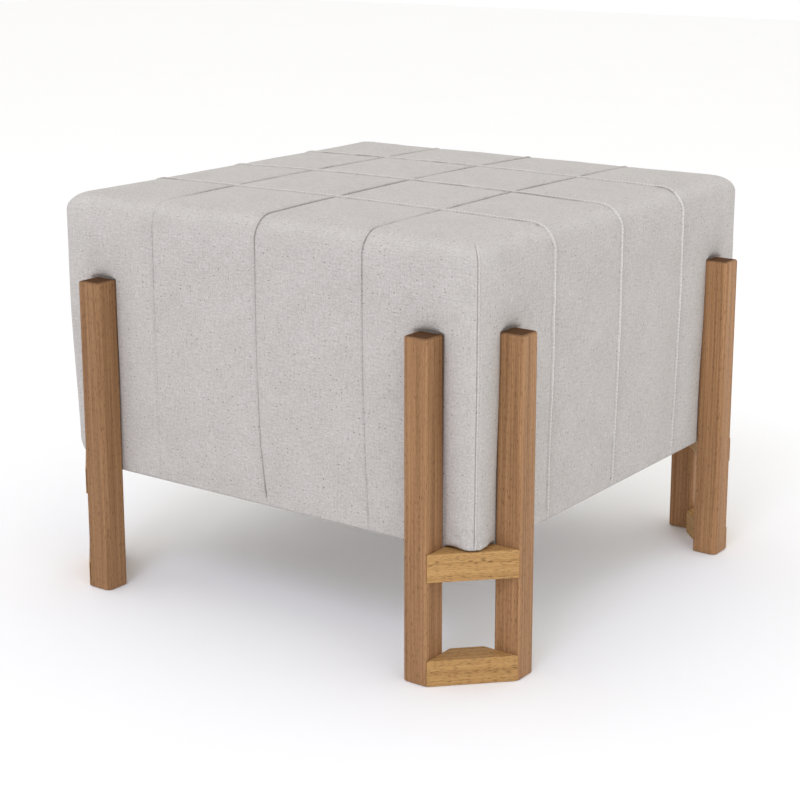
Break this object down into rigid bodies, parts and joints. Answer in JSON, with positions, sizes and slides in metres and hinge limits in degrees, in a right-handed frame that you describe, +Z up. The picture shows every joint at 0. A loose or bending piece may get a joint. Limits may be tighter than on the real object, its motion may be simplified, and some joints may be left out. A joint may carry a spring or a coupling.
{
  "type": "cube pouf stool",
  "caption": "Filled cube pouf in pin-tucked cloth, held at its corners by square wooden posts with mitred blocks between them.",
  "frame": {"origin": "on the floor, under the middle of the cube", "axes": "+Z up; -Y is the front side and +X the side to its right, and all four sides are alike"},
  "size_m": [0.6, 0.6, 0.4523],
  "materials": {
    "cloth": "heathered woven, matte",
    "post_wood": "satin, grain upright",
    "block_wood": "satin, grain along the block"
  },
  "bodies": {
    "root": {"pouf": "cloth", "post_front_left": "post_wood", "post_front_right": "post_wood", "post_right_front": "post_wood", "post_right_back": "post_wood", "post_back_right": "post_wood", "post_back_left": "post_wood", "post_left_back": "post_wood", "post_left_front": "post_wood", "foot_block_front_right": "block_wood", "foot_block_right_back": "block_wood", "foot_block_back_left": "block_wood", "foot_block_left_front": "block_wood", "bearer_block_front_right": "block_wood", "bearer_block_right_back": "block_wood", "bearer_block_back_left": "block_wood", "bearer_block_left_front": "block_wood"}
  },
  "joints": []
}
